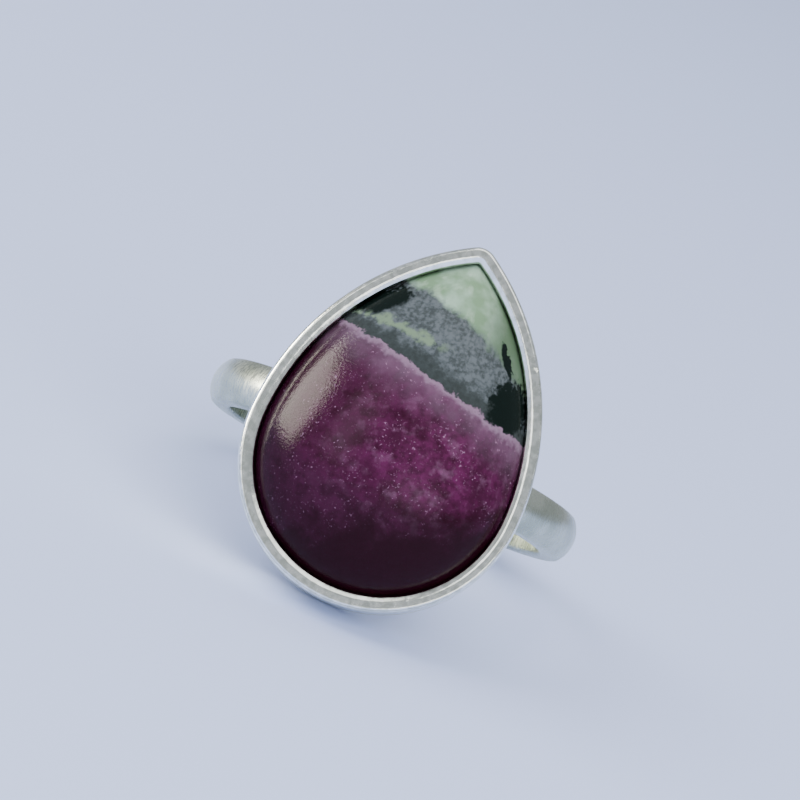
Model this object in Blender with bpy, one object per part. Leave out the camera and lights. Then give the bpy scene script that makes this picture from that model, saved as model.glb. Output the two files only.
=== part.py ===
"""Silver ring with a pear-shaped cabochon of ruby in zoisite, lying on its side.

The ring is modelled in its own frame: the bore's axis is Y, the stone faces +Z, and the stone's
tip points to +Y. An empty then leans that frame so that the ring lies as it would when put down:
on the round end of its head and on the edge of the band opposite the stone. The surface is Z = 0.
All sizes are in metres.
"""

import math

import bmesh
import bpy
from mathutils import Matrix, Vector

# Clearance left between pieces that touch or are soldered in the real ring.
GAP = 0.00005

# Band: a half-round section swept round the finger hole.
BORE_DIAMETER = 0.0182
BAND_WIDTH = 0.00245
BAND_EDGE_THICKNESS = 0.00100
BAND_DOME_HEIGHT = 0.00050
BAND_SEAT_DEPTH = 0.00040
BAND_SEGMENTS = 96
BAND_DOME_POINTS = 9

# Pear outline of the head: a half circle, two long side arcs and a small rounded tip.
HEAD_WIDTH = 0.0144
SIDE_ARC_RADIUS = 0.0137
TIP_RADIUS = 0.0010
HEAD_SHIFT_TO_TIP = 0.0008
ROUND_END_STEP = math.radians(5.0)
SIDE_ARC_STEPS = 16
TIP_STEPS = 5

# Back plate.
PLATE_THICKNESS = 0.0008
PLATE_CHAMFER = 0.00012

# Bezel: a strip whose top edge leans over the stone.
BEZEL_HEIGHT = 0.0028
BEZEL_THICKNESS = 0.00065
BEZEL_SHOULDER = 0.00018
BEZEL_LIP_OVERHANG = 0.00015
BEZEL_LIP_HEIGHT = 0.00110
BEZEL_LIP_EDGE = 0.00020
BEZEL_TOP_FLAT = 0.00032

# Cabochon.
STONE_THICKNESS = 0.0054
STONE_GIRDLE_HEIGHT = 0.0015
STONE_BASE_BEVEL = 0.00020
DOME_CENTRE_FROM_ROUND_END = 0.0082
DOME_TIP_GROWTH = 0.0060
DOME_LEVELS = (1.0, 0.992, 0.975, 0.945, 0.90, 0.83, 0.74, 0.63, 0.50, 0.35, 0.18)

# Heights along the stone's normal, measured from the middle of the finger hole.
BORE_RADIUS = BORE_DIAMETER / 2
BAND_EDGE_RADIUS = BORE_RADIUS + BAND_EDGE_THICKNESS
BAND_OUTER_RADIUS = BAND_EDGE_RADIUS + BAND_DOME_HEIGHT
SEAT_Z = BAND_OUTER_RADIUS - BAND_SEAT_DEPTH
PLATE_BOTTOM_Z = SEAT_Z + GAP
PLATE_TOP_Z = PLATE_BOTTOM_Z + PLATE_THICKNESS
SETTING_Z = PLATE_TOP_Z + GAP

# The round end's circle, and where the head lies along the bore's axis.
ROUND_END_RADIUS = HEAD_WIDTH / 2
SIDE_CENTRE_OFFSET = SIDE_ARC_RADIUS - ROUND_END_RADIUS


def tip_centre_rise(tip_arc):
    """Return how far the centre of a tip of this radius lies from the round end's centre."""
    return math.sqrt((SIDE_ARC_RADIUS - tip_arc) ** 2 - SIDE_CENTRE_OFFSET**2)


HEAD_LENGTH = ROUND_END_RADIUS + tip_centre_rise(TIP_RADIUS) + TIP_RADIUS
ROUND_END_Y = HEAD_SHIFT_TO_TIP - HEAD_LENGTH / 2
ROUND_CENTRE_Y = ROUND_END_Y + ROUND_END_RADIUS


def clear_scene():
    """Remove the objects that the start-up file holds."""
    for item in list(bpy.data.objects):
        bpy.data.objects.remove(item, do_unlink=True)


def make_material(name, colour, roughness, metallic):
    """Return a Principled material with a linear RGB colour."""
    material = bpy.data.materials.new(name)
    material.use_nodes = True
    shader = material.node_tree.nodes["Principled BSDF"]
    shader.inputs["Base Color"].default_value = (*colour, 1.0)
    shader.inputs["Roughness"].default_value = roughness
    shader.inputs["Metallic"].default_value = metallic
    material.diffuse_color = (*colour, 1.0)
    return material


def make_object(name, shape, material, parent):
    """Turn a bmesh into an object under the ring's empty, with its normals facing out."""
    bmesh.ops.recalc_face_normals(shape, faces=shape.faces)
    mesh = bpy.data.meshes.new(name)
    shape.to_mesh(mesh)
    shape.free()
    mesh.shade_smooth()
    mesh.set_sharp_from_angle(angle=math.radians(35.0))
    mesh.materials.append(material)
    item = bpy.data.objects.new(name, mesh)
    item.parent = parent
    bpy.context.scene.collection.objects.link(item)
    return item


def pear_outline(inset, tip_arc=TIP_RADIUS):
    """Return the head's outline, moved inwards by inset, anticlockwise from the round end.

    tip_arc is the radius of the tip before the inset. All insets and tips have matching points.
    No point lies on the middle of the round end: a short straight edge does, and the ring can
    rest on it.
    """
    half = []
    round_radius = ROUND_END_RADIUS - inset
    angle = -math.pi / 2 + ROUND_END_STEP / 2
    while angle < -ROUND_END_STEP / 4:
        half.append((round_radius * math.cos(angle), ROUND_CENTRE_Y + round_radius * math.sin(angle)))
        angle += ROUND_END_STEP
    side_radius = SIDE_ARC_RADIUS - inset
    tip_rise = tip_centre_rise(tip_arc)
    tip_angle = math.atan2(tip_rise, SIDE_CENTRE_OFFSET)
    for step in range(SIDE_ARC_STEPS):
        angle = tip_angle * step / SIDE_ARC_STEPS
        half.append((side_radius * math.cos(angle) - SIDE_CENTRE_OFFSET,
                     ROUND_CENTRE_Y + side_radius * math.sin(angle)))
    tip_radius = tip_arc - inset
    for step in range(TIP_STEPS):
        angle = tip_angle + (math.pi / 2 - tip_angle) * step / TIP_STEPS
        half.append((tip_radius * math.cos(angle),
                     ROUND_CENTRE_Y + tip_rise + tip_radius * math.sin(angle)))
    tip = (0.0, ROUND_CENTRE_Y + tip_rise + tip_radius)
    return half + [tip] + [(-x, y) for x, y in reversed(half)]


def add_loop(shape, outline, height):
    """Add one closed loop of points, all at one height in the ring's frame, and return it."""
    return [shape.verts.new((x, y, height)) for x, y in outline]


def join_loops(shape, loops):
    """Skin neighbouring loops with quads."""
    for lower, upper in zip(loops, loops[1:]):
        for index, corner in enumerate(lower):
            after = (index + 1) % len(lower)
            shape.faces.new((corner, lower[after], upper[after], upper[index]))


def build_plate(material, parent):
    """Flat sheet with the head's outline. Its underside is parted on both sides of the band."""
    shape = bmesh.new()
    levels = ((PLATE_CHAMFER, PLATE_BOTTOM_Z), (0.0, PLATE_BOTTOM_Z + PLATE_CHAMFER), (0.0, PLATE_TOP_Z))
    loops = [add_loop(shape, pear_outline(inset), height) for inset, height in levels]
    join_loops(shape, loops)
    shape.faces.new(loops[0])
    shape.faces.new(loops[-1])
    for side in (-1.0, 1.0):
        bmesh.ops.bisect_plane(
            shape,
            geom=list(shape.faces) + list(shape.edges) + list(shape.verts),
            plane_co=(0.0, side * BAND_WIDTH, 0.0),
            plane_no=(0.0, 1.0, 0.0),
        )
    return make_object("back_plate", shape, material, parent)


def build_bezel(material, parent):
    """Strip wall: straight outside, rounded shoulder, narrow top, lip leaning over the stone."""
    top = SETTING_Z + BEZEL_HEIGHT
    shoulder_middle = BEZEL_SHOULDER * (1 - math.sqrt(0.5))
    lip_inset = BEZEL_THICKNESS + BEZEL_LIP_OVERHANG
    levels = (
        (0.0, SETTING_Z),
        (0.0, top - BEZEL_SHOULDER),
        (shoulder_middle, top - shoulder_middle),
        (BEZEL_SHOULDER, top),
        (BEZEL_SHOULDER + BEZEL_TOP_FLAT, top),
        (lip_inset, top - BEZEL_LIP_EDGE),
        (lip_inset, top - 2 * BEZEL_LIP_EDGE),
        (BEZEL_THICKNESS, top - BEZEL_LIP_HEIGHT),
        (BEZEL_THICKNESS, SETTING_Z),
    )
    shape = bmesh.new()
    loops = [add_loop(shape, pear_outline(inset), height) for inset, height in levels]
    join_loops(shape, loops + [loops[0]])
    return make_object("bezel", shape, material, parent)


def dome_loop(shape, inset, level):
    """Add the dome's loop where the girdle outline is shrunk by level towards the dome's centre.

    The dome is a quarter ellipse: its height over the girdle is the full rise times the square
    root of one minus the level squared. The tip grows rounder as the level falls, so no crease
    runs up the dome from it.
    """
    centre = ROUND_END_Y + DOME_CENTRE_FROM_ROUND_END
    rise = (STONE_THICKNESS - STONE_GIRDLE_HEIGHT) * math.sqrt(1 - level**2)
    outline = pear_outline(inset, TIP_RADIUS + DOME_TIP_GROWTH * (1 - level))
    shrunk = [(level * x, centre + level * (y - centre)) for x, y in outline]
    return add_loop(shape, shrunk, SETTING_Z + STONE_GIRDLE_HEIGHT + rise)


def build_cabochon(material, parent):
    """Domed stone with a flat base, a straight side inside the bezel and a bevelled base edge."""
    girdle = BEZEL_THICKNESS + GAP
    shape = bmesh.new()
    loops = [
        add_loop(shape, pear_outline(girdle + STONE_BASE_BEVEL), SETTING_Z),
        add_loop(shape, pear_outline(girdle), SETTING_Z + STONE_BASE_BEVEL),
    ]
    loops += [dome_loop(shape, girdle, level) for level in DOME_LEVELS]
    join_loops(shape, loops)
    shape.faces.new(loops[0])
    peak = shape.verts.new((0.0, ROUND_END_Y + DOME_CENTRE_FROM_ROUND_END, SETTING_Z + STONE_THICKNESS))
    last = loops[-1]
    for index, corner in enumerate(last):
        shape.faces.new((corner, last[(index + 1) % len(last)], peak))
    return make_object("cabochon", shape, material, parent)


def band_section():
    """Return the band's section as (distance along the bore, radius) points, inner edge first."""
    half_width = BAND_WIDTH / 2
    dome_radius = (half_width**2 + BAND_DOME_HEIGHT**2) / (2 * BAND_DOME_HEIGHT)
    centre = BAND_OUTER_RADIUS - dome_radius
    spread = math.asin(half_width / dome_radius)
    section = [(-half_width, BORE_RADIUS)]
    for index in range(BAND_DOME_POINTS):
        angle = spread * (2 * index / (BAND_DOME_POINTS - 1) - 1)
        section.append((dome_radius * math.sin(angle), centre + dome_radius * math.cos(angle)))
    section.append((half_width, BORE_RADIUS))
    return section


def build_band(material, parent):
    """Half-round shank round the Y axis, its top filed flat by a cutter to seat the plate.

    The points start half a step from the top, so a straight edge lies opposite the stone.
    """
    shape = bmesh.new()
    section = band_section()
    loops = []
    for index in range(BAND_SEGMENTS):
        angle = 2 * math.pi * (index + 0.5) / BAND_SEGMENTS
        turn = Matrix.Rotation(angle, 4, "Y")
        loops.append([shape.verts.new(turn @ Vector((0.0, y, radius))) for y, radius in section])
    join_loops(shape, loops + [loops[0]])
    band = make_object("band", shape, material, parent)

    depth = BAND_OUTER_RADIUS - SEAT_Z
    bpy.ops.mesh.primitive_cube_add(size=1.0)
    cutter = bpy.context.active_object
    cutter.name = "seat_cutter"
    cutter.parent = parent
    cutter.scale = (BORE_DIAMETER, 2 * BAND_WIDTH, 2 * depth)
    cutter.location = (0.0, 0.0, SEAT_Z + depth)
    cutter.hide_render = True
    cutter.display_type = "WIRE"
    filed = band.modifiers.new("filed_seat", "BOOLEAN")
    filed.operation = "DIFFERENCE"
    filed.solver = "EXACT"
    filed.object = cutter
    return band


def lay_down(ring):
    """Lean the ring's empty so that the ring lies on its head's round end and on the band.

    The two contacts are the plate's lower outer edge at the round end, above its chamfer, and
    the band's edge opposite the stone. Both are straight mesh edges along X.
    """
    head_y = ROUND_CENTRE_Y - ROUND_END_RADIUS * math.cos(ROUND_END_STEP / 2)
    head_z = PLATE_BOTTOM_Z + PLATE_CHAMFER
    band_y = -BAND_WIDTH / 2
    band_z = -BAND_EDGE_RADIUS * math.cos(math.pi / BAND_SEGMENTS)
    lean = math.atan2(band_y - head_y, head_z - band_z)
    ring.rotation_euler = (math.pi / 2 - lean, 0.0, 0.0)

    tilt = Matrix.Rotation(math.pi / 2 - lean, 4, "X")
    floor = (tilt @ Vector((0.0, head_y, head_z))).z
    bpy.context.view_layer.update()
    lengths = []
    for item in ring.children:
        if item.type == "MESH" and not item.hide_render:
            lengths += [(tilt @ vertex.co).y for vertex in item.data.vertices]
    ring.location = (0.0, -(min(lengths) + max(lengths)) / 2, -floor)


def main():
    """Build the ring."""
    clear_scene()
    ring = bpy.data.objects.new("ring_frame", None)
    bpy.context.scene.collection.objects.link(ring)
    silver = make_material("silver_worn", (0.62, 0.63, 0.60), 0.30, 1.0)
    plate_silver = make_material("silver_plate", (0.60, 0.61, 0.59), 0.32, 1.0)
    bezel_silver = make_material("silver_rubbed", (0.68, 0.69, 0.67), 0.22, 1.0)
    stone = make_material("ruby_in_zoisite", (0.16, 0.06, 0.08), 0.12, 0.0)
    build_band(silver, ring)
    build_plate(plate_silver, ring)
    build_bezel(bezel_silver, ring)
    build_cabochon(stone, ring)
    lay_down(ring)


main()
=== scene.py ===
"""Silver ring with a pear-shaped ruby in zoisite cabochon, lying on its side on a pale floor."""

from __future__ import annotations

import logging
import math
from dataclasses import dataclass, field
from enum import Enum
from typing import Any, Sequence

import bpy
import numpy as np
from mathutils import Matrix, Vector

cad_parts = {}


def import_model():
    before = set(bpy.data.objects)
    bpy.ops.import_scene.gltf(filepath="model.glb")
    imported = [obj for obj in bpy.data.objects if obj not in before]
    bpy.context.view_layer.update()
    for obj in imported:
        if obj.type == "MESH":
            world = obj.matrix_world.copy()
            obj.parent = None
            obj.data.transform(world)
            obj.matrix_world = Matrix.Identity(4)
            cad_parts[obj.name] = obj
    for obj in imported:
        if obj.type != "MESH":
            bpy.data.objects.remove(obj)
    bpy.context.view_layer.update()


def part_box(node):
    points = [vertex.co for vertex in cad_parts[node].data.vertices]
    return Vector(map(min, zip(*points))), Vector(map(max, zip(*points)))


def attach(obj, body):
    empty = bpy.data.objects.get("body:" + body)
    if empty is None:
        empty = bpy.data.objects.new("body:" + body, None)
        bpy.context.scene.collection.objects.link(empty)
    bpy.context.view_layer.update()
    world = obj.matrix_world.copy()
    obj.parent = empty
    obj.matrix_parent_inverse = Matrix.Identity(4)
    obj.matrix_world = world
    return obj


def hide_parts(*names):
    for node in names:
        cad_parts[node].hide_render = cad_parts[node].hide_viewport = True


LOG = logging.getLogger("ring")
MM = 0.001
Array = np.ndarray


class Axis(Enum):
    """Whether the first and last rows, or columns, of a grid of points join."""

    OPEN = "open"
    CLOSED = "closed"


def linear(hex_colour: str) -> tuple[float, float, float, float]:
    """Turn an sRGB hex colour into linear RGBA.

    Args:
        hex_colour: six hex digits, such as "8e8d89".

    Returns:
        The linear colour with an alpha of one.
    """
    parts = [int(hex_colour[k:k + 2], 16) / 255 for k in (0, 2, 4)]
    flat = [c / 12.92 if c <= 0.04045 else ((c + 0.055) / 1.055) ** 2.4 for c in parts]
    return (flat[0], flat[1], flat[2], 1.0)


def add_node(tree: Any, kind: str, inputs: dict[Any, Any] | None = None, **settings: Any) -> Any:
    """Add one node, set its properties, and fill or link its inputs.

    Args:
        tree: the node tree.
        kind: the node's type name.
        inputs: socket name or number to a value or to another node's output.
        settings: properties of the node.

    Returns:
        The new node.
    """
    node = tree.nodes.new(kind)
    for name, value in settings.items():
        setattr(node, name, value)
    for key, value in (inputs or {}).items():
        if isinstance(value, bpy.types.NodeSocket):
            tree.links.new(value, node.inputs[key])
        else:
            node.inputs[key].default_value = value
    return node


def noise_waves(phase: Array, seed: int, count: int = 5) -> Array:
    """A smooth periodic wobble between about -1 and 1.

    Formula: a sum of cosines with whole wave numbers from two up. Each is as large as one over the
    root of its number, and the seed picks the phases.

    Args:
        phase: angles in radians.
        seed: picks the phases.
        count: how many cosines are summed.

    Returns:
        One value for each angle.
    """
    random = np.random.default_rng(seed)
    waves = np.arange(2, 2 + count)
    shifts = random.uniform(0, 2 * math.pi, count)
    sizes = 1 / np.sqrt(waves)
    total = (sizes * np.cos(phase[..., None] * waves + shifts)).sum(-1)
    return total / sizes.sum()


def surface(name: str, grid: Array, around: Axis, along: Axis, fill_ends: bool = False) -> Any:
    """Make an object from a grid of points.

    Row i and column j of the grid become one vertex, and each cell becomes one quad.

    Args:
        name: the object's name.
        grid: points in metres, shaped (rows, columns, 3).
        around: whether the last column joins the first.
        along: whether the last row joins the first.
        fill_ends: close the first and the last row with a fan to their middle.

    Returns:
        The new object, smooth shaded, with its faces pointing out.
    """
    rows, columns, _ = grid.shape
    row = np.arange(rows if along is Axis.CLOSED else rows - 1)
    column = np.arange(columns if around is Axis.CLOSED else columns - 1)
    i, j = np.meshgrid(row, column, indexing="ij")
    i_next, j_next = (i + 1) % rows, (j + 1) % columns
    here, ahead = i * columns, i_next * columns
    quads = np.stack([here + j, here + j_next, ahead + j_next, ahead + j], -1).reshape(-1, 4)
    points = grid.reshape(-1, 3)
    corners = [quads.ravel()]
    sizes = [np.full(len(quads), 4)]
    if fill_ends:
        middles = np.stack([grid[0].mean(0), grid[-1].mean(0)])
        points = np.vstack([points, middles])
        edge = np.arange(columns)
        edge_next = (edge + 1) % columns
        first = np.stack([np.full(columns, rows * columns), edge_next, edge], -1)
        base = (rows - 1) * columns
        last = np.stack([np.full(columns, rows * columns + 1), base + edge, base + edge_next], -1)
        corners += [first.ravel(), last.ravel()]
        sizes += [np.full(2 * columns, 3)]
    corners_all = np.concatenate(corners).astype(np.int32)
    sizes_all = np.concatenate(sizes).astype(np.int32)
    mesh = bpy.data.meshes.new(name)
    mesh.vertices.add(len(points))
    mesh.vertices.foreach_set("co", points.astype(np.float32).ravel())
    mesh.loops.add(len(corners_all))
    mesh.loops.foreach_set("vertex_index", corners_all)
    mesh.polygons.add(len(sizes_all))
    starts = np.concatenate([[0], np.cumsum(sizes_all)[:-1]]).astype(np.int32)
    mesh.polygons.foreach_set("loop_start", starts)
    mesh.update(calc_edges=True)
    mesh.validate()
    mesh.shade_smooth()
    if signed_volume(mesh) < 0:
        mesh.flip_normals()
    item = bpy.data.objects.new(name, mesh)
    bpy.context.scene.collection.objects.link(item)
    return item


def signed_volume(mesh: Any) -> float:
    """Volume enclosed by a closed mesh, negative where its faces point in."""
    mesh.calc_loop_triangles()
    points = np.empty(len(mesh.vertices) * 3, np.float32)
    mesh.vertices.foreach_get("co", points)
    points = points.reshape(-1, 3).astype(float)
    triangles = np.empty(len(mesh.loop_triangles) * 3, np.int32)
    mesh.loop_triangles.foreach_get("vertices", triangles)
    a, b, c = points[triangles.reshape(-1, 3)].transpose(1, 0, 2)
    return float((a * np.cross(b, c)).sum() / 6)


def raised(outlines: Array, heights: Array) -> Array:
    """Give each outline of a stack its own height.

    Args:
        outlines: points shaped (outlines, points, 2).
        heights: one height for each outline.

    Returns:
        Points shaped (outlines, points, 3).
    """
    column = np.broadcast_to(heights[:, None, None], outlines.shape[:2] + (1,))
    return np.concatenate([outlines, column], -1)


def rounded_profile(corners: Sequence[tuple[float, float, float]], steps: int = 8) -> Array:
    """A closed profile whose corners are rounded.

    Each corner is replaced by a quadratic curve that starts and ends one radius away from it.

    Args:
        corners: (across, up, radius) for each corner, in millimetres, in order.
        steps: points on each rounded corner.

    Returns:
        The profile's points, shaped (points, 2).
    """
    given = np.array(corners, float)
    place, radius = given[:, :2], given[:, 2:3]
    before = np.roll(place, 1, 0) - place
    after = np.roll(place, -1, 0) - place
    start = place + before / np.linalg.norm(before, axis=1, keepdims=True) * radius
    end = place + after / np.linalg.norm(after, axis=1, keepdims=True) * radius
    t = np.linspace(0, 1, steps)[None, :, None]
    curve = (1 - t) ** 2 * start[:, None] + 2 * t * (1 - t) * place[:, None] + t**2 * end[:, None]
    return curve.reshape(-1, 2)


@dataclass(frozen=True)
class PearShape:
    """Outline of the head: a half circle, two side arcs and a rounded tip, in millimetres."""

    width: float = 14.4
    side_arc: float = 13.7
    tip_arc: float = 1.0
    shift_to_tip: float = 0.8
    round_points: int = 110
    side_points: int = 150
    tip_points: int = 24

    @property
    def round_radius(self) -> float:
        """Radius of the round end."""
        return self.width / 2

    @property
    def length(self) -> float:
        """Length from the round end to the tip."""
        return self.round_radius + float(self.tip_rise(self.tip_arc)) + self.tip_arc

    @property
    def round_centre(self) -> float:
        """Where the round end's centre lies along the bore's axis."""
        return self.shift_to_tip - self.length / 2 + self.round_radius

    def tip_rise(self, tip_arc: Any) -> Any:
        """How far the tip's centre lies from the round end's centre."""
        return np.sqrt((self.side_arc - tip_arc) ** 2 - (self.side_arc - self.round_radius) ** 2)

    def outline(self, inset: Any, tip_arc: Any = None) -> Array:
        """Points of the outline moved inwards by inset.

        Formula: three arcs in turn, each sampled at even angles: the round end about its centre
        from the bottom, the side about a centre beyond the middle, and the tip; then the mirror
        image.

        Args:
            inset: how far inwards, a number or a column of numbers, in millimetres.
            tip_arc: radius of the tip before the inset, the same.

        Returns:
            Points shaped (insets, points, 2).
        """
        inset = np.atleast_1d(np.asarray(inset, float)).reshape(-1, 1)
        tip_arc = self.tip_arc if tip_arc is None else tip_arc
        tip_arc = np.broadcast_to(np.asarray(tip_arc, float).reshape(-1, 1), inset.shape)
        offset = self.side_arc - self.round_radius
        rise = self.tip_rise(tip_arc)
        tip_angle = np.arctan2(rise, offset)
        low = np.linspace(-math.pi / 2, 0, self.round_points, endpoint=False)[None, :]
        side = tip_angle * np.linspace(0, 1, self.side_points, endpoint=False)[None, :]
        tip = tip_angle + (math.pi / 2 - tip_angle) * np.linspace(0, 1, self.tip_points)[None, :]
        arcs = (
            (low, self.round_radius - inset, 0.0, 0.0),
            (side, self.side_arc - inset, -offset, 0.0),
            (tip, tip_arc - inset, 0.0, rise),
        )
        x = np.hstack([radius * np.cos(angle) + across for angle, radius, across, _ in arcs])
        y = np.hstack([radius * np.sin(angle) + up for angle, radius, _, up in arcs])
        x = np.hstack([x, -x[:, -2:0:-1]])
        y = np.hstack([y, y[:, -2:0:-1]]) + self.round_centre
        return np.stack([x, y], -1)


@dataclass(frozen=True)
class RingFrame:
    """Where the ring's own frame lies: bore along Y, stone towards Z, leaning on the floor.

    Sizes are in millimetres and are those of the solids. The solids are faceted, so their lowest
    points depend on the number of the band's facets and on half a step of the round end's.
    """

    pear: PearShape = field(default_factory=PearShape)
    bore_radius: float = 9.1
    band_width: float = 2.45
    edge_thickness: float = 1.0
    dome_height: float = 0.5
    seat_depth: float = 0.4
    gap: float = 0.05
    plate_thickness: float = 0.8
    plate_chamfer: float = 0.12
    bezel_height: float = 2.8
    band_facets: int = 96
    round_half_step_deg: float = 2.5

    @property
    def outer_radius(self) -> float:
        """Outer radius of the band at the middle of its width."""
        return self.bore_radius + self.edge_thickness + self.dome_height

    @property
    def crown_radius(self) -> float:
        """Radius of the curve across the band's outer side."""
        half = self.band_width / 2
        return (half**2 + self.dome_height**2) / (2 * self.dome_height)

    @property
    def plate_bottom(self) -> float:
        """Height of the plate's underside over the middle of the bore."""
        return self.outer_radius - self.seat_depth + self.gap

    @property
    def setting(self) -> float:
        """Height on which the bezel and the stone stand."""
        return self.plate_bottom + self.plate_thickness + self.gap

    def matrix(self) -> Matrix:
        """Place of the ring's frame in the row frame, from its two contacts with the floor."""
        step = math.radians(self.round_half_step_deg)
        facet = math.cos(math.pi / self.band_facets)
        half, dome = self.band_width / 2, self.crown_radius
        head_y = self.pear.round_centre - self.pear.round_radius * math.cos(step)
        head_z = self.plate_bottom + self.plate_chamfer
        band_y = -half
        band_z = -(self.bore_radius + self.edge_thickness) * facet
        lean = math.atan2(band_y - head_y, head_z - band_z)
        turn = Matrix.Rotation(math.pi / 2 - lean, 4, "X")
        floor = (turn @ Vector((0.0, head_y, head_z))).z
        back = max(
            (turn @ Vector((0.0, half, -self.bore_radius))).y,
            (turn @ Vector((0.0, band_y, band_z))).y,
        )
        for angle in np.linspace(-1, 1, 9):
            spread = math.asin(half / dome) * angle
            radius = (self.outer_radius - dome + dome * math.cos(spread)) * facet
            back = max(back, (turn @ Vector((0.0, dome * math.sin(spread), -radius))).y)
        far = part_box("band")[1][1]
        return Matrix.Translation((0.0, far - back * MM, -floor * MM)) @ turn

    def place(self, grid: Array) -> Array:
        """Move points from the ring's frame, in millimetres, to the row frame, in metres."""
        matrix = np.array(self.matrix())
        return (grid * MM) @ matrix[:3, :3].T + matrix[:3, 3]


@dataclass(frozen=True)
class Silver:
    """Sterling silver, cast or rolled, then filed, rubbed and polished by hand.

    A metal with a faintly warm-grey white colour. Fine random scratches from polishing cloth and
    wear break its reflections, small dents make them wavy, and a thin patina shades it in patches.
    Where the patches are small, as on the bezel, they are also painted reflection: a mottle that
    stands in for the mottled reflections of the rim.
    """

    name: str
    colour: str
    shade: str
    roughness: float
    scratch_mm: float = 0.12
    scratch_depth: float = 0.000004
    dent_mm: float = 0.8
    dent_depth: float = 0.00003
    patina_and_mottle_mm: float = 1.6
    least_rough: float = 0.7
    most_rough: float = 1.8

    def material(self, frame: RingFrame) -> Any:
        """Build the node material.

        Args:
            frame: the ring's place, so that patterns follow the piece.

        Returns:
            The material.
        """
        material = bpy.data.materials.new(self.name)
        material.use_nodes = True
        tree = material.node_tree
        shader = tree.nodes["Principled BSDF"]
        shader.inputs["Metallic"].default_value = 1.0
        place = pattern_place(tree, frame)
        dents = add_node(
            tree, "ShaderNodeTexNoise", {"Vector": place, "Scale": 1 / self.dent_mm, "Detail": 2.0}
        )
        stretch = add_node(
            tree, "ShaderNodeMapping",
            {"Vector": place, "Scale": (1.0, 0.14, 1.0), "Rotation": (0.3, 0.5, 0.7)},
        )
        scratches = add_node(
            tree, "ShaderNodeTexNoise",
            {"Vector": stretch.outputs[0], "Scale": 1 / self.scratch_mm, "Detail": 4.0,
             "Roughness": 0.7},
        )
        f = Formula(tree)
        # Patina and painted reflection: the patches mix a darker tone into the colour, and at small
        # sizes they are a painted mottle standing in for mottled reflections.
        patina = f.step(f.noise(place, self.patina_and_mottle_mm, 5.0, 8.0), 0.38, 0.62)
        colour = f.mix(patina, linear(self.shade), linear(self.colour))
        tree.links.new(colour, shader.inputs["Base Color"])
        rough = add_node(
            tree, "ShaderNodeMapRange",
            {"Value": scratches.outputs["Fac"], "From Min": 0.3, "From Max": 0.75,
             "To Min": self.roughness * self.least_rough,
             "To Max": self.roughness * self.most_rough},
        )
        tree.links.new(rough.outputs["Result"], shader.inputs["Roughness"])
        dent_bump = add_node(
            tree, "ShaderNodeBump",
            {"Strength": 0.5, "Distance": self.dent_depth, "Height": dents.outputs["Fac"]},
        )
        bump = add_node(
            tree, "ShaderNodeBump",
            {"Strength": 0.25, "Distance": self.scratch_depth,
             "Height": scratches.outputs["Fac"], "Normal": dent_bump.outputs["Normal"]},
        )
        tree.links.new(bump.outputs["Normal"], shader.inputs["Normal"])
        return material


def pattern_place(tree: Any, frame: RingFrame) -> Any:
    """Coordinates in the ring's own frame, in millimetres, as a socket.

    Args:
        tree: the material's node tree.
        frame: the ring's place in the row frame.

    Returns:
        The socket with X across, Y towards the tip and Z along the stone's normal.
    """
    back = frame.matrix().inverted()
    coordinates = add_node(tree, "ShaderNodeTexCoord")
    mapping = add_node(
        tree, "ShaderNodeMapping",
        {"Vector": coordinates.outputs["Object"],
         "Location": tuple(v / MM for v in back.to_translation()),
         "Rotation": tuple(back.to_euler()), "Scale": (1 / MM, 1 / MM, 1 / MM)},
    )
    return mapping.outputs[0]


@dataclass(frozen=True)
class Ellipse:
    """A turned ellipse on the stone, in millimetres and radians."""

    centre: tuple[float, float]
    radii: tuple[float, float]
    turn: float = 0.0


class Formula:
    """Writes arithmetic on sockets as nodes of one tree."""

    def __init__(self, tree: Any) -> None:
        """Keep the tree that the nodes go into."""
        self.tree = tree

    def math(self, operation: str, *values: Any) -> Any:
        """One Math node's output for these values or sockets."""
        inputs = dict(enumerate(values))
        return add_node(self.tree, "ShaderNodeMath", inputs, operation=operation).outputs[0]

    def step(self, value: Any, low: float, high: float) -> Any:
        """A smooth step: nought below low, one above high."""
        node = add_node(
            self.tree, "ShaderNodeMapRange", {"Value": value, "From Min": low, "From Max": high},
            interpolation_type="SMOOTHSTEP",
        )
        return node.outputs["Result"]

    def mix(self, amount: Any, first: Any, second: Any) -> Any:
        """First colour where amount is nought and second where it is one."""
        node = self.tree.nodes.new("ShaderNodeMix")
        node.data_type = "RGBA"
        for index, value in ((0, amount), (6, first), (7, second)):
            if isinstance(value, bpy.types.NodeSocket):
                self.tree.links.new(value, node.inputs[index])
            else:
                node.inputs[index].default_value = value
        return node.outputs[2]

    def noise(self, place: Any, size_mm: float, detail: float = 3.0, shift: float = 0.0) -> Any:
        """Noise whose lumps are about size_mm across; shift gives another pattern."""
        moved = add_node(
            self.tree, "ShaderNodeMapping", {"Vector": place, "Location": (shift, shift * 1.7, 0.0)}
        )
        node = add_node(
            self.tree, "ShaderNodeTexNoise",
            {"Vector": moved.outputs[0], "Scale": 1 / size_mm, "Detail": detail},
        )
        return node.outputs["Fac"]

    def times(self, first: Any, second: Any) -> Any:
        """The product of two values or sockets."""
        return self.math("MULTIPLY", first, second)

    def blob(self, x: Any, y: Any, ellipse: Ellipse) -> Any:
        """Distance from an ellipse's centre, one on its edge.

        Args:
            x: socket across the stone, in millimetres.
            y: socket towards the tip, in millimetres.
            ellipse: the ellipse.

        Returns:
            The distance as a socket.
        """
        cos, sin = math.cos(ellipse.turn), math.sin(ellipse.turn)
        long, short = ellipse.radii
        dx = self.math("SUBTRACT", x, ellipse.centre[0])
        dy = self.math("SUBTRACT", y, ellipse.centre[1])
        along = self.math("ADD", self.times(dx, cos / long), self.times(dy, sin / long))
        across = self.math("SUBTRACT", self.times(dy, cos / short), self.times(dx, sin / short))
        squares = self.math("ADD", self.times(along, along), self.times(across, across))
        return self.math("SQRT", squares)


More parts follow.
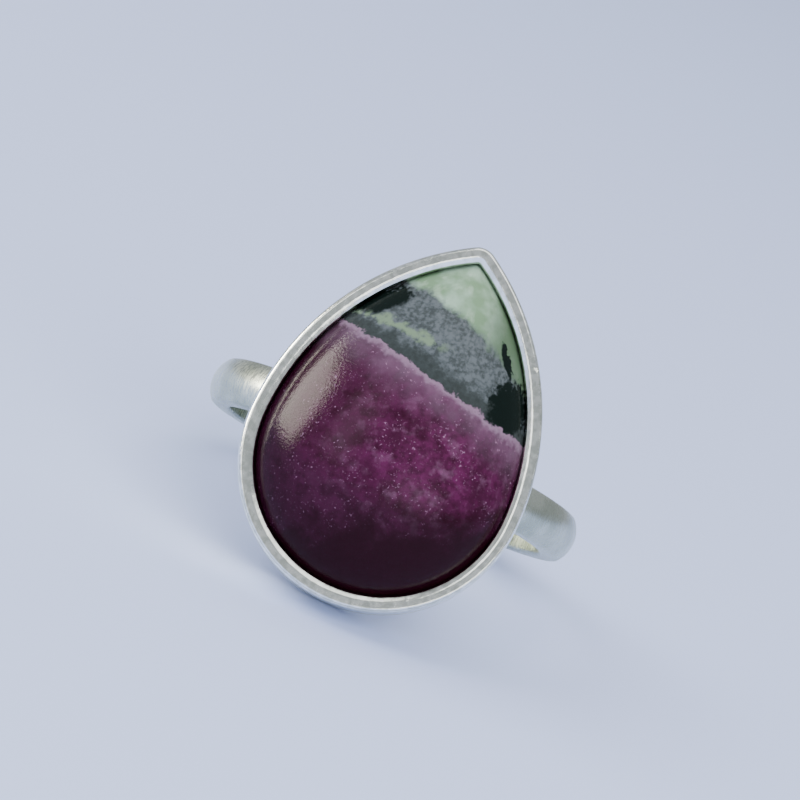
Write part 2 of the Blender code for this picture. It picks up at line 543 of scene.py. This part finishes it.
@dataclass(frozen=True)
class RubyInZoisite:
    """Polished ruby in zoisite: purple-red corundum in green zoisite with black hornblende.

    Three zones cross the stone: pale green zoisite at the tip, a speckled grey-green belt with
    black patches, and purple ruby. Towards the round end the ruby is darkened by painted shade,
    which stands in for the dark surround that its polish mirrors there, and its bright specks
    are painted glints of its cleavage planes. The polish is smooth, but its reflection is set
    weaker than the real stone's, so that the dark ruby stays dark over a pale floor. Lines on the
    stone are given as their height over the ring's middle at the stone's middle, how far they
    fall for each millimetre to the right, and how much they curve.
    """

    name: str = "ruby_in_zoisite"
    pale: str = "8fa893"
    pale_deep: str = "6c8869"
    pale_light: str = "a9bba8"
    pale_edge: str = "4c5f49"
    belt: str = "585e60"
    belt_dark: str = "2d3230"
    black: str = "0c1512"
    vein: str = "6d7f66"
    fringe: str = "8a7083"
    ruby: str = "381229"
    ruby_bright: str = "571e44"
    maroon: str = "1d040c"
    fleck_and_glint: str = "936c86"
    ior: float = 1.5
    reflection: float = 0.085
    roughness: float = 0.15
    grain_mm: float = 0.13
    grain_depth: float = 0.000022
    ruby_line: tuple[float, float] = (3.2, 0.19)
    pale_line: tuple[float, float, float] = (6.72, 0.30, 0.035)
    vein_line: tuple[float, float] = (4.75, 0.06)
    glow: Ellipse = Ellipse((2.0, -0.6), (4.2, 3.6))
    patches: tuple[Ellipse, ...] = (
        Ellipse((-3.5, 5.85), (1.6, 0.62), 0.62),
        Ellipse((3.3, 5.6), (1.0, 0.2), -0.96),
        Ellipse((4.35, 3.45), (1.1, 1.5), 0.2),
    )

    def material(self, frame: RingFrame) -> Any:
        """Build the node material.

        Args:
            frame: the ring's place, so that the zones follow the stone.

        Returns:
            The material.
        """
        material = bpy.data.materials.new(self.name)
        material.use_nodes = True
        tree = material.node_tree
        shader = tree.nodes["Principled BSDF"]
        shader.inputs["IOR"].default_value = self.ior
        shader.inputs["Specular IOR Level"].default_value = self.reflection
        shader.inputs["Roughness"].default_value = self.roughness
        f = Formula(tree)
        place = pattern_place(tree, frame)
        parts = add_node(tree, "ShaderNodeSeparateXYZ", {"Vector": place})
        wobble = f.times(f.math("SUBTRACT", f.noise(place, 0.9, 4.0), 0.5), 0.9)
        ragged = f.times(f.math("SUBTRACT", f.noise(place, 0.25, 4.0, 3.0), 0.5), 0.5)
        x = parts.outputs[0]
        y = f.math("ADD", parts.outputs[1], f.math("ADD", wobble, ragged))
        height, fall = self.ruby_line
        from_ruby = f.math("SUBTRACT", y, f.math("SUBTRACT", height, f.times(x, fall)))
        height, fall, bend = self.pale_line
        curve = f.math("ADD", f.times(x, fall), f.times(f.times(x, x), bend))
        from_pale = f.math("SUBTRACT", y, f.math("SUBTRACT", height, curve))
        colour = self.ruby_colour(f, place, x, y, from_ruby)
        belt = self.belt_colour(f, place, x, y, from_ruby)
        colour = f.mix(f.step(from_ruby, -0.06, 0.08), colour, belt)
        cloud = f.step(f.noise(place, 1.3, 3.0, 9.0), 0.35, 0.65)
        pale = f.mix(cloud, linear(self.pale), linear(self.pale_deep))
        wisps = add_node(
            tree, "ShaderNodeMapping",
            {"Vector": place, "Rotation": (0.0, 0.0, 0.6), "Scale": (1.0, 0.35, 1.0)},
        )
        wisp = f.step(f.noise(wisps.outputs[0], 0.5, 4.0, 19.0), 0.52, 0.68)
        pale = f.mix(f.times(wisp, 0.35), pale, linear(self.pale_light))
        edge_tone = f.times(f.step(f.math("ADD", x, wobble), 0.8, 2.8), 0.9)
        pale = f.mix(edge_tone, pale, linear(self.pale_edge))
        colour = f.mix(f.step(from_pale, -0.25, 0.3), colour, pale)
        for dark_patch in self.patches:
            edge = f.math("ADD", f.blob(x, y, dark_patch), f.times(ragged, 2.0))
            patch = f.times(f.step(edge, 1.15, 0.75), f.step(from_ruby, -0.05, 0.1))
            colour = f.mix(patch, colour, linear(self.black))
        tree.links.new(colour, shader.inputs["Base Color"])
        grain = f.noise(place, self.grain_mm, 3.0, 5.0)
        bump = add_node(
            tree, "ShaderNodeBump", {"Strength": 0.5, "Distance": self.grain_depth, "Height": grain}
        )
        tree.links.new(bump.outputs["Normal"], shader.inputs["Normal"])
        return material

    def ruby_colour(self, f: Formula, place: Any, x: Any, y: Any, from_ruby: Any) -> Any:
        """Purple ruby: lilac at its edge, magenta in the middle, nearly black at the round end
        where shade is painted, and sprinkled with painted glints.

        Args:
            f: writes the nodes.
            place: coordinates on the stone, in millimetres.
            x: socket across the stone.
            y: socket towards the tip, made ragged.
            from_ruby: socket with the distance beyond the ruby's edge.

        Returns:
            The colour as a socket.
        """
        away = f.blob(x, y, self.glow)
        glow = f.step(away, 1.3, 0.15)
        fine = f.times(f.noise(place, 0.25, 4.0, 7.0), 0.5)
        cloud = f.step(f.math("ADD", f.noise(place, 1.2, 6.0, 2.0), fine), 0.55, 0.98)
        lit = f.times(cloud, f.math("ADD", f.times(glow, 0.8), 0.2))
        colour = f.mix(lit, linear(self.ruby), linear(self.ruby_bright))
        smoke = f.step(f.noise(place, 0.7, 7.0, 27.0), 0.5, 0.72)
        mist = f.times(smoke, f.step(away, 1.7, 0.3))
        colour = f.mix(f.times(mist, 0.26), colour, linear(self.fleck_and_glint))
        pits = f.step(f.noise(place, 0.6, 6.0, 17.0), 0.42, 0.7)
        colour = f.mix(f.times(pits, 0.55), colour, linear(self.maroon))
        # Painted shade: towards the round end the ruby is mixed into maroon, standing in for the
        # dark surround that its polish mirrors there; the same mask also darkens it away from the
        # middle ellipse.
        depth = f.math("SUBTRACT", f.times(x, 0.4), f.times(y, 0.92))
        depth = f.math("ADD", depth, f.times(f.noise(place, 1.1, 6.0, 4.0), 3.6))
        side = f.times(f.step(away, 1.35, 2.05), 0.7)
        dark = f.math("MAXIMUM", f.step(depth, 4.4, 7.2), side)
        colour = f.mix(f.times(dark, 0.94), colour, linear(self.maroon))
        haze = f.times(f.step(from_ruby, -2.4, 0.0), f.noise(place, 0.9, 4.0, 15.0))
        colour = f.mix(f.times(haze, 0.55), colour, linear(self.fringe))
        rim = f.times(f.step(from_ruby, -0.45, -0.02), 0.75)
        colour = f.mix(rim, colour, linear(self.fringe))
        # Painted glints: small bright specks, in clusters, stand in for light caught by the ruby's
        # cleavage planes; they are hidden where the shade is painted.
        painted_glint = f.step(f.noise(place, 0.13, 2.0, 21.0), 0.6, 0.74)
        cluster = f.step(f.noise(place, 0.9, 4.0, 12.0), 0.46, 0.6)
        share = f.math("ADD", f.times(cluster, 0.6), 0.12)
        shown = f.times(share, f.math("SUBTRACT", 1.0, dark))
        return f.mix(f.times(painted_glint, shown), colour, linear(self.fleck_and_glint))

    def belt_colour(self, f: Formula, place: Any, x: Any, y: Any, from_ruby: Any) -> Any:
        """Speckled grey-green belt with a darker band beside the ruby and a pale vein.

        Args:
            f: writes the nodes.
            place: coordinates on the stone, in millimetres.
            x: socket across the stone.
            y: socket towards the tip, made ragged.
            from_ruby: socket with the distance beyond the ruby's edge.

        Returns:
            The colour as a socket.
        """
        coarse = f.times(f.noise(place, 0.6, 4.0, 33.0), 0.6)
        speckle = f.step(f.math("ADD", f.noise(place, 0.2, 4.0, 6.0), coarse), 0.62, 1.0)
        colour = f.mix(f.times(speckle, 0.75), linear(self.belt), linear(self.belt_dark))
        beside = f.step(f.math("ADD", from_ruby, f.noise(place, 0.6, 3.0, 8.0)), 1.5, 0.9)
        colour = f.mix(f.times(beside, 0.85), colour, linear(self.belt_dark))
        height, fall = self.vein_line
        middle = f.math("SUBTRACT", y, f.math("SUBTRACT", height, f.times(x, fall)))
        vein = f.times(f.step(f.math("ABSOLUTE", middle), 0.34, 0.06), f.step(x, 1.0, -0.6))
        vein = f.times(vein, f.step(f.noise(place, 0.4, 4.0, 31.0), 0.36, 0.52))
        return f.mix(f.times(vein, 0.9), colour, linear(self.vein))


@dataclass
class Cabochon:
    """The domed stone."""

    frame: RingFrame
    girdle_inset: float = 0.70
    girdle_height: float = 1.5
    base_bevel: float = 0.2
    thickness: float = 5.4
    dome_centre: float = 8.2
    tip_growth: float = 6.0
    levels: int = 100

    def build(self, finish: RubyInZoisite) -> Any:
        """Dome, side and base as one closed surface.

        Formula: the girdle outline shrinks by a level towards the dome's centre while the height
        rises as the square root of one minus the level squared; the tip grows rounder inwards.

        Args:
            finish: the stone's material.

        Returns:
            The stone's object.
        """
        pear = self.frame.pear
        centre = pear.round_centre - pear.round_radius + self.dome_centre
        turn = np.linspace(0, math.pi / 2, self.levels)[:-1]
        level = np.cos(turn)[:, None]
        tip_arc = pear.tip_arc + self.tip_growth * (1 - level)
        outline = pear.outline(np.full_like(level, self.girdle_inset), tip_arc)
        middle = np.array([0.0, centre])
        dome = middle + level[:, :, None] * (outline - middle)
        rise = (self.thickness - self.girdle_height) * np.sin(turn)
        base = pear.outline([self.girdle_inset + self.base_bevel, self.girdle_inset])
        flat = np.concatenate([base, dome])
        heights = np.concatenate([[0.0, self.base_bevel], self.girdle_height + rise])
        grid = self.frame.place(raised(flat, heights + self.frame.setting))
        stone = surface("ruby_in_zoisite_cabochon", grid, Axis.CLOSED, Axis.OPEN, fill_ends=True)
        stone.data.materials.append(finish.material(self.frame))
        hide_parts("cabochon")
        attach(stone, "root")
        return stone


@dataclass
class Bezel:
    """The silver strip round the stone, its lip rubbed over the stone's side."""

    frame: RingFrame
    thickness: float = 0.65
    lip_overhang: float = 0.16
    lip_drop: float = 0.40
    lip_slope: float = 0.12
    top_width: float = 0.50
    wobble: float = 0.03
    nick_place: tuple[float, float] = (4.75, 6.05)
    nick_size: float = 0.13
    nick_depth: float = 0.1

    def build(self, finish: Silver) -> Any:
        """Carry the strip's rounded section round the pear outline.

        Formula: the section's inset and height are added to the outline at every angle, and a
        slow hand-made wobble moves the lip in and out and the top up and down. One small nick is
        pressed into the rim near the tip.

        Args:
            finish: the silver.

        Returns:
            The bezel's object.
        """
        top = self.frame.bezel_height
        lip = self.thickness + self.lip_overhang
        # Inset, height and corner radius, from the outer foot over the top to the inner foot.
        section = rounded_profile((
            (0.0, -self.frame.gap, 0.02),
            (0.0, top - 0.16, 0.16),
            (0.14, top, 0.08),
            (self.top_width, top, 0.08),
            (lip - 0.04, top - self.lip_slope, 0.05),
            (lip, top - self.lip_drop, 0.04),
            (self.thickness, top - 1.1, 0.1),
            (self.thickness, 0.0, 0.02),
        ))
        outline = self.frame.pear.outline(section[:, 0])
        phase = np.linspace(0, 2 * math.pi, outline.shape[1], endpoint=False)
        # The wobble fades in across the lip's inner half and over the strip's upper half.
        inner = np.clip((section[:, 0] - 0.3) / 0.5, 0, 1)[:, None]
        high = np.clip((section[:, 1] - 1.5) / 1.3, 0, 1)[:, None]
        middle = outline.mean(1, keepdims=True)
        push = inner * noise_waves(phase, 3) * self.wobble
        toward = (middle - outline) / np.linalg.norm(middle - outline, axis=-1, keepdims=True)
        outline = outline + toward * push[..., None]
        lift = high * noise_waves(phase, 5) * self.wobble * 0.6
        height = self.frame.setting + section[:, 1:2] + lift
        from_nick = np.linalg.norm(outline - np.array(self.nick_place), axis=-1) / self.nick_size
        height = height - high * self.nick_depth * np.exp(-from_nick**2)
        grid = np.concatenate([outline, height[..., None]], -1)
        bezel = surface("silver_bezel", self.frame.place(grid), Axis.CLOSED, Axis.CLOSED)
        bezel.data.materials.append(finish.material(self.frame))
        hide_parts("bezel")
        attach(bezel, "root")
        return bezel


@dataclass
class BackPlate:
    """The flat sheet under the stone. Its lower edge is rounded over rounding times the chamfer."""

    frame: RingFrame
    rounding: float = 1.5

    def build(self, finish: Silver) -> Any:
        """Stack the outline at the plate's levels, with a rounded lower edge.

        Args:
            finish: the silver.

        Returns:
            The plate's object.
        """
        bottom, chamfer = self.frame.plate_bottom, self.rounding * self.frame.plate_chamfer
        turn = np.linspace(0, math.pi / 2, 6)
        inset = np.concatenate([chamfer * (1 - np.sin(turn)), [0.0, 0.03]])
        top = bottom + self.frame.plate_thickness
        height = np.concatenate([bottom + chamfer * (1 - np.cos(turn)), [top, top]])
        grid = self.frame.place(raised(self.frame.pear.outline(inset), height))
        plate = surface("silver_back_plate", grid, Axis.CLOSED, Axis.OPEN, fill_ends=True)
        plate.data.materials.append(finish.material(self.frame))
        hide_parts("back_plate")
        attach(plate, "root")
        return plate


@dataclass
class Band:
    """The half-round shank, worn smooth, with its top filed flat under the plate."""

    frame: RingFrame
    around: int = 480
    edge_round: float = 0.14
    crown_share: float = 0.93

    def build(self, finish: Silver) -> Any:
        """Sweep the half-round section round the bore.

        Formula: at each angle the section's radius is measured from the bore's axis; where a point
        would rise above the filed seat its height is held at the seat.

        Args:
            finish: the silver.

        Returns:
            The band's object.
        """
        frame = self.frame
        half = frame.band_width / 2
        edge = frame.bore_radius + frame.edge_thickness
        dome = frame.crown_radius
        spread = math.asin(half / dome) * self.crown_share
        angles = np.linspace(-spread, spread, 25)
        radii = frame.outer_radius - dome + dome * np.cos(angles)
        arc = np.stack([dome * np.sin(angles), radii], -1)
        lower = rounded_profile((
            (half, edge, self.edge_round),
            (half, frame.bore_radius, self.edge_round * 1.3),
            (-half, frame.bore_radius, self.edge_round * 1.3),
            (-half, edge, self.edge_round),
        ), 7)
        section = np.concatenate([arc, lower[4:-4]])
        turn = np.linspace(0, 2 * math.pi, self.around, endpoint=False)[:, None]
        seat = frame.outer_radius - frame.seat_depth
        height = section[None, :, 1] * np.cos(turn)
        grid = np.stack([
            section[None, :, 1] * np.sin(turn),
            np.broadcast_to(section[None, :, 0], height.shape),
            np.minimum(height, seat),
        ], -1)
        band = surface("silver_band", frame.place(grid), Axis.CLOSED, Axis.CLOSED)
        band.data.materials.append(finish.material(frame))
        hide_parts("band")
        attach(band, "root")
        return band


@dataclass
class Solder:
    """The solder fillet where the band meets the plate."""

    frame: RingFrame
    reach: float = 4.6
    depth: float = 1.05
    sink: float = 0.02

    def build(self, finish: Silver) -> Any:
        """A low hollow-sided mound between the band and the plate.

        Formula: a flat ellipse as wide as the band, whose side swells where it meets the plate.

        Args:
            finish: the silver.

        Returns:
            The fillet's object.
        """
        turn = np.linspace(0, 2 * math.pi, 160, endpoint=False)[None, :]
        rise = np.linspace(0, 1, 14)[:, None]
        grow = 0.86 + 0.14 * rise**3
        length = self.reach * np.sign(np.cos(turn)) * np.abs(np.cos(turn)) ** 0.8
        x = length * (0.55 + 0.45 * rise**1.6) * grow
        y = self.frame.band_width * 0.5 * 1.06 * np.sin(turn) * grow
        low = self.frame.plate_bottom - self.depth
        z = np.broadcast_to(low + (self.frame.plate_bottom + self.sink - low) * rise, x.shape)
        grid = self.frame.place(np.stack([x, y, z], -1))
        fillet = surface("silver_solder_fillet", grid, Axis.CLOSED, Axis.OPEN, fill_ends=True)
        fillet.data.materials.append(finish.material(self.frame))
        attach(fillet, "root")
        return fillet


class Rays(Enum):
    """Which rays a lamp answers: all, only reflections, or only soft light."""

    ALL = "all"
    SHINE = "shine"
    SOFT = "soft"


@dataclass(frozen=True)
class Lamp:
    """A softbox that hangs toward a direction from the stone, in the ring's frame.

    Distance and size are in metres and power is in watts.
    """

    name: str
    toward: tuple[float, float, float]
    distance: float
    size: tuple[float, float]
    power: float
    colour: str
    rays: Rays


@dataclass
class Studio:
    """Floor, lights, world and camera.

    The window and the cards only draw the highlights, and the glow and the front lamp only light.
    """

    frame: RingFrame
    lamps: tuple[Lamp, ...] = (
        Lamp("window", (-0.954, 0.177, 0.24), 0.45, (0.30, 0.24), 7.2, "fff8ea", Rays.SHINE),
        Lamp("card_right", (0.36, -0.18, 0.9), 0.45, (0.26, 0.10), 0.26, "ffffff", Rays.SHINE),
        Lamp("card_left", (-0.45, 0.08, 0.89), 0.45, (0.16, 0.24), 0.38, "ffffff", Rays.SHINE),
        Lamp("window_glow", (-0.75, 0.55, 0.35), 0.8, (0.7, 0.5), 5.0, "f4f6ff", Rays.SOFT),
        Lamp("overhead", (0.1, 0.93, 0.35), 1.0, (1.2, 1.2), 8.0, "ffffff", Rays.ALL),
        Lamp("front", (0.3, 0.2, 0.93), 0.4, (0.3, 0.2), 1.6, "ffffff", Rays.SOFT),
    )
    floor_colour: str = "c5d2f8"
    world_colour: str = "dfe5f0"
    world_strength: float = 0.68
    floor_size: float = 3.0
    focal_px: float = 3177.0
    image_px: float = 800.0
    turn_deg: tuple[float, float, float] = (-5.79, -1.5, -25.13)
    shift_mm: tuple[float, float, float] = (0.2215, -1.108, -156.1)

    def build(self) -> None:
        """Make the floor, the world, the lights and the camera."""
        self.floor()
        self.world()
        for lamp in self.lamps:
            self.light(lamp)
        self.camera()

    def floor(self) -> None:
        """A large pale sheet. Its matte paper has no gloss, so only soft shadows mark it."""
        half = self.floor_size / 2
        front = [[-half, -half, 0.0], [half, -half, 0.0]]
        back = [[-half, half, 0.0], [half, half, 0.0]]
        floor = surface("floor", np.array([front, back]), Axis.OPEN, Axis.OPEN)
        material = bpy.data.materials.new("matte_paper")
        material.use_nodes = True
        shader = material.node_tree.nodes["Principled BSDF"]
        shader.inputs["Base Color"].default_value = linear(self.floor_colour)
        shader.inputs["Roughness"].default_value = 0.9
        shader.inputs["Specular IOR Level"].default_value = 0.0
        floor.data.materials.append(material)

    def world(self) -> None:
        """An even pale surround."""
        world = bpy.data.worlds.new("studio")
        world.use_nodes = True
        back = world.node_tree.nodes["Background"]
        back.inputs["Color"].default_value = linear(self.world_colour)
        back.inputs["Strength"].default_value = self.world_strength
        bpy.context.scene.world = world

    def light(self, lamp: Lamp) -> None:
        """Hang one softbox, turned to the stone.

        Args:
            lamp: the softbox.
        """
        data = bpy.data.lights.new(lamp.name, "AREA")
        data.shape = "RECTANGLE"
        data.size, data.size_y = lamp.size
        data.energy = lamp.power
        data.color = linear(lamp.colour)[:3]
        item = bpy.data.objects.new(lamp.name, data)
        item.visible_diffuse = lamp.rays is not Rays.SHINE
        item.visible_glossy = lamp.rays is not Rays.SOFT
        direction = (self.frame.matrix().to_3x3() @ Vector(lamp.toward)).normalized()
        target = self.frame.matrix() @ Vector((0.0, 0.0, self.frame.setting * MM))
        item.location = target + direction * lamp.distance
        item.rotation_mode = "QUATERNION"
        item.rotation_quaternion = direction.to_track_quat("Z", "Y")
        bpy.context.scene.collection.objects.link(item)

    def camera(self) -> None:
        """Put the camera where the photograph was taken from."""
        rx, ry, rz = (math.radians(v) for v in self.turn_deg)
        turn_y = Matrix.Rotation(ry, 4, "Y")
        turn = Matrix.Rotation(rz, 4, "Z") @ Matrix.Rotation(rx, 4, "X") @ turn_y
        to_camera = Matrix.Translation(Vector(self.shift_mm) * MM) @ turn
        rim = self.frame.setting + self.frame.bezel_height
        middle = Vector((0.0, self.frame.pear.shift_to_tip, rim))
        head = self.frame.matrix() @ Matrix.Translation(middle * MM)
        data = bpy.data.cameras.new("camera")
        data.lens = self.focal_px / self.image_px * data.sensor_width
        data.clip_start = 0.005
        camera = bpy.data.objects.new("camera", data)
        camera.matrix_world = head @ to_camera.inverted()
        bpy.context.scene.collection.objects.link(camera)
        bpy.context.scene.camera = camera


def main() -> None:
    """Build the ring, its finishes and its studio."""
    logging.basicConfig(level=logging.INFO, format="%(message)s")
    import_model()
    frame = RingFrame()
    # All three silvers carry a faint painted green tint that stands in for greenish reflections.
    # The bezel's small patina patches are partly a painted mottle of its reflections, and the
    # band's silver is set darker than the bezel's, partly tarnish and partly painted shade for its
    # darker reflections.
    rubbed = Silver(
        "sterling_silver_rubbed", colour="f3f5ed", shade="d9ddd3", roughness=0.15,
        dent_mm=0.6, patina_and_mottle_mm=0.45,
    )
    worn = Silver(
        "sterling_silver_worn_and_shaded", colour="bfc5b7", shade="a9b0a1", roughness=0.24, dent_mm=1.2
    )
    satin = Silver("sterling_silver_satin", colour="dedfd7", shade="cdcec6", roughness=0.3)
    for piece in (
        Cabochon(frame).build(RubyInZoisite()),
        Bezel(frame).build(rubbed),
        BackPlate(frame).build(satin),
        Band(frame).build(worn),
        Solder(frame).build(satin),
    ):
        LOG.info("%s: %d vertices", piece.name, len(piece.data.vertices))
    Studio(frame).build()


if __name__ == "__main__":
    main()
